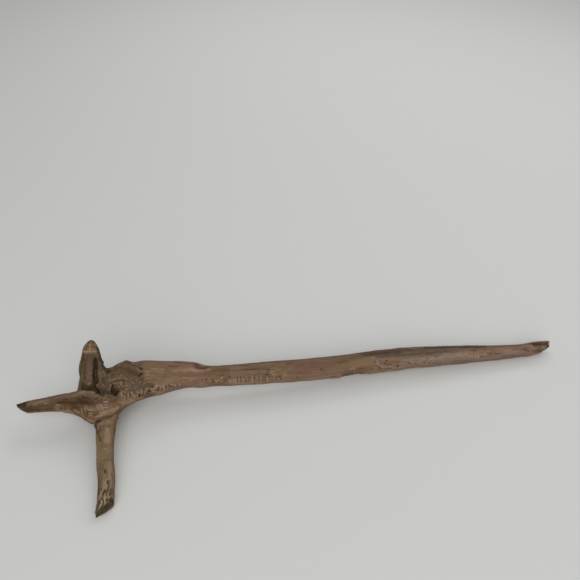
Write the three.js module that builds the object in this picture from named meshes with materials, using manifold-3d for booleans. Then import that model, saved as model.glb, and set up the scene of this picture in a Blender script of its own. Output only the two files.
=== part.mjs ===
// A driftwood branch that was gnawed off a tree: one long shaft and three cut stubs, grown together in one knot.
// It lies as it was found, on the knot's heel, the near stub's end and the shaft's far end.
// Millimetres, +Z up, +X along the shaft. The origin is the middle of the worn flat under the heel.
import * as THREE from "three";
import { mergeVertices } from "three/addons/utils/BufferGeometryUtils.js";
import Module from "manifold-3d";

// Driving dimensions
const shaftReach = 512; // from the heel to the shaft's tip, along X
const shaftRadius = 13; // at mid length
const stemHeight = 31; // the stem's pith above the ground where it passes through the knot
const leftStubReach = 92; // from the heel to the left stub's tip, along X
const nearStubReach = 142; // from the heel to the near stub's tip, along Y
const nearStubRadius = 8.3;
const upperStubTop = 88; // the standing stub's end above the ground
const filletBand = 11; // limbs nearer to each other than this swell to meet

// How fine the skin is
const ringGap = 6; // between two rings along a limb
const limbSides = 24;
const capRings = 5;
const fieldSamples = 48; // places along a pith where its distance is measured

const worldUp = new THREE.Vector3(0, 0, 1);
const awayFromViewer = new THREE.Vector3(0, 1, 0);
const degrees = THREE.MathUtils.degToRad;

const wasm = await Module();
wasm.setup();

// The smaller of two values, rounded over a band where they meet.
function softMin(a, b, band) {
  const overlap = Math.max(band - Math.abs(a - b), 0) / band;
  return Math.min(a, b) - (overlap * overlap * band) / 4;
}

// The difference of two angles, from -pi to pi.
function turnBetween(a, b) {
  return Math.atan2(Math.sin(a - b), Math.cos(a - b));
}

// Height of one swelling, or of one hollow if it is negative, at a place on a limb.
function swelling({ at, reach, angle, spread, height }, along, around) {
  const lengthwise = (along - at) / reach;
  const sideways = turnBetween(around, degrees(angle)) / degrees(spread);
  return height * Math.exp(-lengthwise * lengthwise - sideways * sideways);
}

// Height of one lengthwise flute that winds slowly round a limb.
function flute({ count, turn, phase, height }, along, around) {
  return height * Math.cos(count * around + degrees(turn * along + phase));
}

// Slides a point back along its limb to the face that a cut leaves, with a rounded rim.
function cutBack(point, tangent, { through, facing, rim }) {
  const normal = new THREE.Vector3(...facing).normalize();
  const beyond = point.clone().sub(new THREE.Vector3(...through)).dot(normal);
  const kept = softMin(beyond, 0, rim);
  point.addScaledVector(tangent, (kept - beyond) / normal.dot(tangent));
}

// A limb is a capsule bent along its pith. A station is [x, y, z, half width, half height].
// Around it, 0 degrees is towards the tangent crossed with upHint, and 90 degrees is towards upHint.
class Limb {
  constructor({ stations, upHint = worldUp, flutes = [], swellings = [], cuts = [] }) {
    const smooth = (points) => new THREE.CatmullRomCurve3(points, false, "catmullrom");
    this.pith = smooth(stations.map(([x, y, z]) => new THREE.Vector3(x, y, z)));
    this.girth = smooth(stations.map(([, , , width, height]) => new THREE.Vector3(width, height, 0)));
    this.length = this.pith.getLength();
    this.endRadius = stations.at(-1)[3];
    Object.assign(this, { upHint, flutes, swellings, cuts });
    this.samples = Array.from({ length: fieldSamples + 1 }, (_, i) => {
      const t = this.pith.getUtoTmapping(i / fieldSamples);
      const half = this.girth.getPoint(t);
      return { middle: this.pith.getPoint(t), radius: (half.x + half.y) / 2 };
    });
  }

  // How far a point lies outside this limb.
  distanceTo(point) {
    return Math.min(...this.samples.map(({ middle, radius }) => point.distanceTo(middle) - radius));
  }

  // The limb's skin, swollen where it meets the other limbs.
  skin(others) {
    const skin = new THREE.CapsuleGeometry(
      1,
      this.length / this.endRadius - 2,
      capRings,
      limbSides,
      Math.round(this.length / ringGap),
    );
    const place = skin.attributes.position;
    for (let i = 0; i < place.count; i++) {
      const middleToPoint = place.getY(i) * this.endRadius;
      const along = THREE.MathUtils.clamp(middleToPoint + this.length / 2, 0, this.length);
      const t = this.pith.getUtoTmapping(along / this.length);
      const tangent = this.pith.getTangent(t);
      const across = tangent.clone().cross(this.upHint).normalize();
      const upright = across.clone().cross(tangent);
      const around = Math.atan2(place.getZ(i), place.getX(i));
      const half = this.girth.getPoint(t);
      const pointAt = (relief) =>
        this.pith
          .getPoint(t)
          .addScaledVector(across, place.getX(i) * (half.x + relief))
          .addScaledVector(upright, place.getZ(i) * (half.y + relief));
      const relief =
        this.flutes.reduce((sum, one) => sum + flute(one, along, around), 0) +
        this.swellings.reduce((sum, one) => sum + swelling(one, along, around), 0);
      const bare = pointAt(relief);
      const fillet = others.reduce(
        (sum, other) => sum - softMin(Math.abs(other.distanceTo(bare)), 0, filletBand),
        0,
      );
      const point = pointAt(relief + fillet);
      this.cuts.forEach((cut) => cutBack(point, tangent, cut));
      place.setXYZ(i, point.x, point.y, point.z);
    }
    return skin;
  }
}

// The through stem: the left stub, the knot's front and the long shaft are one run of grain.
const stem = new Limb({
  stations: [
    [-leftStubReach - 9, -37, 26.5, 4.6, 4.8],
    [-82, -35, 27.5, 6.2, 6.4],
    [-68, -33, 28, 7, 7.2],
    [-50, -30.5, 28.6, 8.4, 8.8],
    [-33, -30.5, 29, 10, 10.6],
    [-15, -34, 30, 13.6, 14.8],
    [2, -28.5, stemHeight, 14.5, 16],
    [18, -13.6, 33.6, 17, 17.4],
    [34, -2.6, 32.6, 18.6, 18.4],
    [50, 3, 30.6, 17.8, 17.5],
    [66, 7, 29.5, 15, 15.4],
    [84, 9, 27.5, 12.6, 13.2],
    [104, 9.5, 25.5, 10.8, 11],
    [149, 15, 24, 11.8, 11.8],
    [200, 22, 21.5, 12.2, shaftRadius],
    [252, 31, 19.3, 12, 12.2],
    [306, 43, 17, 12.6, shaftRadius],
    [360, 51, 14.5, 12.4, 12.2],
    [412, 57.5, 11.2, 10.8, 11],
    [462, 62.5, 8.6, 8.6, 8.8],
    [shaftReach - 12, 69, 9.8, 7.2, 7.6],
    [shaftReach + 10, 73.5, 11, 4.8, 5],
  ],
  flutes: [
    { count: 2, turn: 0.35, phase: 40, height: 0.6 },
    { count: 3, turn: -0.25, phase: 0, height: 0.45 },
    { count: 5, turn: 0.3, phase: 70, height: 0.2 },
  ],
  swellings: [
    { at: 88, reach: 12, angle: -42, spread: 34, height: 5 },
    { at: 100, reach: 20, angle: 48, spread: 20, height: 2.4 },
    { at: 140, reach: 18, angle: 95, spread: 50, height: 1.8 },
    { at: 200, reach: 20, angle: 112, spread: 40, height: 2.4 },
    { at: 378, reach: 22, angle: -62, spread: 40, height: 1.6 },
    { at: 530, reach: 90, angle: 20, spread: 26, height: 0.9 },
  ],
  cuts: [
    { through: [-leftStubReach + 5, -39, 25.5], facing: [-0.62, -0.74, -0.2], rim: 1.5 },
    { through: [shaftReach - 14.5, 62.5, 9], facing: [0.5, -0.84, 0.05], rim: 3 },
  ],
});

// The stub that slopes down towards the viewer and stands on its wedge-shaped end.
const nearStub = new Limb({
  stations: [
    [-6, -14, 22, 12, 10],
    [-2, -34, 20.5, 11.6, 10],
    [1, -53, 19, 10.6, 9.8],
    [4.5, -71, 16.8, 9.3, 9.3],
    [9, -92, 14.4, nearStubRadius + 0.3, 9],
    [14, -113, 10.8, nearStubRadius, 8.8],
    [16.6, -130, 8.5, nearStubRadius, 8.8],
    [17.6, -nearStubReach, 8, nearStubRadius - 0.2, 8.4],
    [18, -nearStubReach - 24, 7.6, nearStubRadius - 0.5, 8],
  ],
  flutes: [
    { count: 2, turn: 1.5, phase: 30, height: 0.5 },
    { count: 5, turn: 0.5, phase: 0, height: 0.25 },
  ],
});
const wedgeFaces = [
  { through: [17, -nearStubReach + 9, 17], facing: [0.56, -0.62, 0.55] },
  { through: [19.4, -nearStubReach + 1.4, 5.5], facing: [0.6, -0.68, -0.42] },
];

// The thick stub that stands up behind the knot, gouged down its near face.
const upperStub = new Limb({
  stations: [
    [-16, -18, 20, 13, 12],
    [-20, -11, 34, 14.6, 13.5],
    [-19, -7, 50, 13, 12.5],
    [-17.3, -4, 64, 11.2, 11],
    [-15.4, -2, 77, 9, 9],
    [-13.2, -1, upperStubTop, 5.6, 6.2],
    [-12.8, -1, upperStubTop + 8, 4.6, 5],
  ],
  upHint: awayFromViewer,
  flutes: [{ count: 3, turn: 0.4, phase: 90, height: 0.4 }],
  swellings: [
    { at: 30, reach: 26, angle: -125, spread: 15, height: -2.6 },
    { at: 34, reach: 26, angle: -92, spread: 20, height: 1.4 },
    { at: 30, reach: 30, angle: -40, spread: 18, height: -1.2 },
  ],
  cuts: [{ through: [-14, -1, upperStubTop], facing: [0.05, -0.2, 0.97], rim: 4 }],
});

// The burl that swells over the knot beside the standing stub.
const burl = new Limb({
  stations: [
    [-6, -11, 40, 10, 10],
    [6, -10, 42.5, 14.5, 13.5],
    [20, -5, 44.5, 15.5, 15],
    [33, 0, 38, 13, 12.5],
    [50, 4, 30, 9, 9],
    [66, 7, 24, 6, 6],
  ],
  swellings: [
    { at: 27, reach: 5.5, angle: 100, spread: 34, height: 4 },
    { at: 37, reach: 5.5, angle: 100, spread: 40, height: -4 },
  ],
});

// The bulk of the knot behind the stem, which the stubs and the burl grow out of.
const bulk = new Limb({
  stations: [
    [-34, -22, 23, 7, 7],
    [-21, -14.5, 25, 14.5, 15],
    [-5, -9.5, 27.5, 17, 17],
    [14, -3, 28, 17, 17],
    [32, 2, 28, 14, 14],
    [48, 5, 28, 8, 8],
  ],
  flutes: [{ count: 3, turn: 3, phase: 20, height: 0.7 }],
});

// The heel under the knot, worn flat where it meets the ground.
const heel = new Limb({
  stations: [
    [-3, -18, 32, 14, 14],
    [-1, -10, 21, 17.5, 16],
    [1, -4, 11, 14, 13.5],
    [0, 0, 3, 9.5, 9],
    [0, 1, -6, 5, 5],
  ],
  upHint: awayFromViewer,
});

// The knot hole between the burl and the stem, and the crevice behind the left stub's root.
const knotHole = new Limb({
  stations: [
    [14, -38, 60, 3, 6],
    [11, -31, 51, 3.6, 8],
    [8, -24, 42, 3, 5],
    [5, -18, 34, 1.5, 2],
  ],
});
const crevice = new Limb({
  stations: [
    [-23, -24, 46, 2, 3],
    [-12, -26, 44, 3, 4],
    [-1, -30, 44, 3, 4],
    [10, -31, 45, 1.5, 2],
  ],
});

// Turns a three.js geometry into a solid that can be joined and cut.
function toSolid(geometry) {
  const bare = geometry.clone();
  bare.deleteAttribute("normal");
  bare.deleteAttribute("uv");
  const merged = mergeVertices(bare, 1e-4);
  return new wasm.Manifold(
    new wasm.Mesh({
      numProp: 3,
      vertProperties: Float32Array.from(merged.attributes.position.array),
      triVerts: Uint32Array.from(merged.index.array),
    }),
  );
}

// Turns a solid back into a three.js geometry.
function toGeometry(solid) {
  const mesh = solid.getMesh();
  const geometry = new THREE.BufferGeometry();
  geometry.setAttribute("position", new THREE.BufferAttribute(mesh.vertProperties, 3));
  geometry.setIndex(new THREE.BufferAttribute(mesh.triVerts, 1));
  geometry.computeVertexNormals();
  return geometry;
}

// The block of space on the far side of a flat cut.
function makeOffcut({ through, facing }) {
  const size = 50;
  const block = new THREE.BoxGeometry(size, size, size);
  block.translate(0, 0, size / 2);
  const normal = new THREE.Vector3(...facing).normalize();
  block.applyQuaternion(new THREE.Quaternion().setFromUnitVectors(worldUp, normal));
  block.translate(...through);
  return toSolid(block);
}

// The ground takes off all that would sink below it, which leaves the three worn flats.
function makeGround() {
  const depth = 60;
  const slab = new THREE.BoxGeometry(1400, 800, depth);
  slab.translate(0, 0, -depth / 2);
  return toSolid(slab);
}

const limbs = [stem, nearStub, upperStub, burl, bulk, heel];
const wood = limbs
  .map((limb) => toSolid(limb.skin(limbs.filter((other) => other !== limb))))
  .reduce((whole, solid) => whole.add(solid))
  .subtract(toSolid(knotHole.skin([])))
  .subtract(toSolid(crevice.skin([])))
  .subtract(wedgeFaces.map(makeOffcut).reduce((all, one) => all.add(one)))
  .subtract(makeGround());

const driftwood = new THREE.Mesh(
  toGeometry(wood),
  new THREE.MeshStandardMaterial({ color: 0x8a6c52, roughness: 0.85, metalness: 0 }),
);
driftwood.name = "driftwood";

const branch = new THREE.Group();
branch.add(driftwood);

export default branch;
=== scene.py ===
# A weathered driftwood branch with gnawed ends: skin, grain, tooth marks and colours over the solid.
import math

import bpy
import numpy as np
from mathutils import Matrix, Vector, noise
from mathutils.bvhtree import BVHTree
from mathutils.kdtree import KDTree


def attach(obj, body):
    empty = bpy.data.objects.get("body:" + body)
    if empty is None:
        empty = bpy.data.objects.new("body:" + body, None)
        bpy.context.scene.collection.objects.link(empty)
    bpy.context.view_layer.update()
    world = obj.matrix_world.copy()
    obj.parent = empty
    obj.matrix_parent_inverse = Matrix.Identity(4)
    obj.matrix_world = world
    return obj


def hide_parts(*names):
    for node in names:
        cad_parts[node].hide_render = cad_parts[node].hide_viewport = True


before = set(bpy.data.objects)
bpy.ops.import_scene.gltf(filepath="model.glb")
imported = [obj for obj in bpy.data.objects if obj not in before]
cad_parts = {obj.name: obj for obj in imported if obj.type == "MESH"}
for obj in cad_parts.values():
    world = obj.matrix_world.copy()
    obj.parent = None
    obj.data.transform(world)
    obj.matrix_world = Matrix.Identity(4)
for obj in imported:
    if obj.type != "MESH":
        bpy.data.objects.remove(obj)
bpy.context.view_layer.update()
scene = bpy.context.scene
print("frame loaded")

# Lengths are in millimetres in the solid's own frame, and become metres when the mesh is written.
branch = {
    "voxel": 0.94,  # the skin's grid
    "weld": 1e-6,  # in metres, for the solid's split corners
    "facetPasses": 18,  # smoothing over the solid's facets
    "sharpShare": 0.85,  # how much less the sharp edges are smoothed
    "sharpLevels": 5,
    "lumps": 0.5,  # broad unevenness
    "ridges": 0.34,  # lengthwise grain standing proud
    "fineRidges": 0.16,
    "knotLumps": 0.7,
    "knotGrit": 0.22,
    "knotMiddle": (4, -18, 42),
    "knotReach": (34, 30, 26),  # along X, Y and Z
    "limbBlend": 2.2,  # how softly one limb's grain passes into the next one's
    "cutReach": 22,  # how far a gnawed face goes from its middle
    "cutDepth": (0.6, 1.6),  # a point this far from a face's plane is on it, or no longer on it
    "sharpReach": 20,  # the faces' edges are kept sharp as far as this
    "wideStroke": 1.5,  # strokes from this width up wander more and have worn edges
    "strokeEdge": (0.12, 0.85),  # from where a stroke's colour begins to where it is full
    "hiddenMarks": 330,  # strokes scattered over the sides that face away from the photo
    "hiddenFacing": -0.05,  # a side faces away when its normal points towards the photo less than this
    "seed": 11,
    "footFade": 2.5,  # the relief fades out this near the ground
}
noise.seed_set(branch["seed"])  # or the strokes would wander in another way at each run

# Noise over the wood: waves a millimetre, octaves and seed. The last two follow the grain.
patterns = {
    "broad": (0.045, 2, 3.1),
    "wobble": (0.11, 2, 8.7),
    "rough": (0.16, 3, 23.9),
    "grit": (0.42, 2, 31.7),
    "ridge": ((0.016, 0.20, 0.20), 3, 5.2),
    "fine": ((0.035, 0.48, 0.48), 2, 17.3),
}
octaveFade = 0.9
octaveStep = 2.0
stubSeed = 40  # added to the seed, so that the stubs have a pattern of their own

# How the painted strokes wander: waves a millimetre, millimetres and seed.
wander = {
    "thin": (0.45, 0.45, 2.0),
    "wide": (0.16, 1.0, 7.0),
    "wideEdge": (0.5, 0.5, 3.0),
}

# The pith of each limb, as x, y, z and radius: the grain runs along it.
piths = {
    "stem": [
        (-103, -37, 26.5, 4.7), (-82, -35, 27.5, 6.3), (-68, -33, 28, 7.1), (-50, -30.5, 28.6, 8.6),
        (-33, -30.5, 29, 10.3), (-15, -34, 30, 14.2), (2, -28.5, 31, 15.3), (18, -13.6, 33.6, 17.2),
        (34, -2.6, 32.6, 18.5), (50, 3, 30.6, 17.6), (66, 7, 29.5, 15.2), (84, 9, 27.5, 12.9),
        (104, 9.5, 25.5, 10.9), (149, 15, 24, 11.8), (200, 22, 21.5, 12.6), (252, 31, 19.3, 12.1),
        (306, 43, 17, 12.8), (360, 51, 14.5, 12.3), (412, 57.5, 11.2, 10.9), (462, 62.5, 8.6, 8.7),
        (500, 69, 9.8, 7.4), (524, 73.5, 11, 4.9),
    ],
    "nearStub": [
        (-4, -24, 21, 11), (1, -53, 19, 10.2), (4.5, -71, 16.8, 9.3), (9, -92, 14.4, 8.8),
        (14, -113, 10.8, 8.5), (16.6, -130, 8.5, 8.5), (17.6, -142, 8, 8.3), (18, -156, 7.8, 8.1),
    ],
    "upperStub": [
        (-17, -17, 24, 13), (-20, -11, 34, 14), (-19, -7, 50, 12.8), (-17.3, -4, 64, 11.1),
        (-15.4, -2, 77, 9), (-13.2, -1, 88, 5.9), (-12.8, -1, 95, 5),
    ],
    "burl": [
        (-6, -11, 40, 10), (6, -10, 42.5, 14), (20, -5, 44.5, 15.2), (33, 0, 38, 12.7), (50, 4, 30, 9),
    ],
    "bulk": [
        (-34, -22, 23, 7), (-21, -14.5, 25, 14.7), (-5, -9.5, 27.5, 17), (14, -3, 28, 17), (32, 2, 28, 14),
    ],
    "heel": [(-1, -10, 21, 16.5), (1, -4, 11, 13.5), (0, 0, 3, 9.2), (0, 1, -4, 6)],
}
standing = ("upperStub", "heel")  # these run up and down

# What all the tooth marks have in common, as parts of their row's own gap, spread and depth.
teeth = {
    "sway": 0.45,  # how many gaps a groove wanders sideways
    "shortest": 0.45,
    "longerBy": 0.75,  # what luck may add to the shortest
    "shift": 0.9,  # how far luck may slide a groove round the stem
    "shallowest": 0.2,
    "deeperBy": 0.8,
    "rowEnd": 2,  # in millimetres: a row fades out over this much on both sides of its end
    "patchy": (-0.45, 0.35),  # the noise from which marks begin to show to where they are whole
}
# The same for the gouges on the gnawed faces. Each face starts its own part of a gap further on.
gouges = {"sway": 0.6, "shallowest": 0.45, "deeperBy": 0.55, "offset": 0.3, "seed": 31.0}

# Rows of tooth marks across the stem's grain: from and to along X, the angle round the stem and how far
# the row spreads there, the gap between teeth, their slant and their depth.
toothRows = [
    {"start": -26, "end": 6, "angle": 18, "spread": 20, "gap": 3.3, "slant": -0.25, "depth": 0.25},
    {"start": 10, "end": 34, "angle": 18, "spread": 20, "gap": 3.5, "slant": 0.45, "depth": 0.25},
    {"start": 34, "end": 82, "angle": -4, "spread": 24, "gap": 4.3, "slant": 0.2, "depth": 0.45},
    {"start": 88, "end": 117, "angle": 18, "spread": 22, "gap": 3.5, "slant": 0.55, "depth": 0.35},
    {"start": 120, "end": 152, "angle": 18, "spread": 24, "gap": 3.7, "slant": -0.35, "depth": 0.35},
    {"start": 153, "end": 169, "angle": 22, "spread": 30, "gap": 4.6, "slant": 0.0, "depth": 0.45},
    {"start": 169, "end": 208, "angle": 30, "spread": 30, "gap": 4.1, "slant": 0.6, "depth": 0.30},
    {"start": 292, "end": 330, "angle": 14, "spread": 24, "gap": 3.7, "slant": -0.3, "depth": 0.30},
    {"start": 340, "end": 374, "angle": 28, "spread": 24, "gap": 3.9, "slant": 0.4, "depth": 0.25},
    {"start": 392, "end": 426, "angle": 26, "spread": 28, "gap": 3.7, "slant": -0.2, "depth": 0.30},
    {"start": 96, "end": 150, "angle": 190, "spread": 34, "gap": 3.8, "slant": 0.4, "depth": 0.45},
    {"start": 205, "end": 290, "angle": -70, "spread": 30, "gap": 4.0, "slant": -0.3, "depth": 0.45},
    {"start": 320, "end": 400, "angle": 170, "spread": 36, "gap": 4.2, "slant": 0.3, "depth": 0.40},
    {"start": -78, "end": -44, "angle": 200, "spread": 40, "gap": 3.6, "slant": 0.3, "depth": 0.35},
]

# The gnawed faces: a point on each, its outward normal, the way its gouges run, their gap and their depth.
cutFaces = {
    "leftTip": {
        "through": (-87, -39, 25.5), "facing": (-0.62, -0.74, -0.2), "run": (0.3, -0.1, 1),
        "gap": 3.4, "depth": 0.35,
    },
    "rightTip": {
        "through": (497.5, 62.5, 9), "facing": (0.5, -0.84, 0.05), "run": (1, 0.6, 0),
        "gap": 3.2, "depth": 0.30,
    },
    "upperTop": {
        "through": (-14, -1, 88), "facing": (0.05, -0.2, 0.97), "run": (0, 1, 0.2),
        "gap": 2.9, "depth": 0.20,
    },
    "wedgeTop": {
        "through": (17, -133, 17), "facing": (0.56, -0.62, 0.55), "run": (-0.25, -0.8, -0.5),
        "gap": 3.4, "depth": 0.5,
    },
    "wedgeUnder": {
        "through": (19.4, -140.6, 5.5), "facing": (0.6, -0.68, -0.42), "run": (0, -0.5, 0.8),
        "gap": 3.6, "depth": 0.6,
    },
}
bareCut = "upperTop"  # gouged, but not stained like the other faces

# Pulls on the shape: the middle, how far it reaches and the way it goes.
pulls = [
    ((-96, -34, 26), 9, (-2.4, -1.2, -1.8)),  # the left tip droops
    ((480, 66, 10), 72, (0, 2.3, 0.5)),  # the end of the shaft lies further back
    ((515, 72, 11), 16, (-5.0, 0, 0.3)),  # the far tip is blunter
    ((-28, -8, 62), 15, (-1.4, 0, 0)),  # the upper stub's left side goes further out
    ((-20, -3, 85), 5, (-1.0, 0, 0.3)),  # and so does its shoulder
    ((-14, 1, 88), 4, (-2.0, 0, 0)),  # and its top
    ((27, 5, 56), 9, (0, -1.4, -2.8)),  # the dent beside the burl's peak
    ((18, -138, 8), 10, (1.3, -0.8, -0.3)),  # the near end goes further right
    ((12, -146, 4), 8, (1.2, 0.4, 0)),  # the near end's point
    ((15, -38, 23), 5, (-0.9, 0.9, 1.0)),  # a tighter corner between the shaft and the near stub
    ((3, -28, 42), 6, (0, -1.2, 2.2)),  # closes the crevice short of the knot hole
]

# The view the photo was taken from: where the eye is in metres, how many degrees it looks down, the lens
# and the sensor in millimetres, and the picture's side in pixels.
photo = {"eye": (0.194, -0.428, 0.520), "tiltDown": 40, "lens": 36, "sensor": 36, "side": 580}
# Where a stroke runs off the wood, its edge is looked for in rings of pixels, at so many turns of each.
edgeSearch = {"furthest": 4, "step": 0.4, "turns": 16}

# The tones that strokes are painted in. Those in stains lie under the fine grain.
stains = ("mauve", "olive", "amber", "red", "pink", "ash")
tones = ("knot", *stains, "dark", "pale", "cream", "black")

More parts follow.
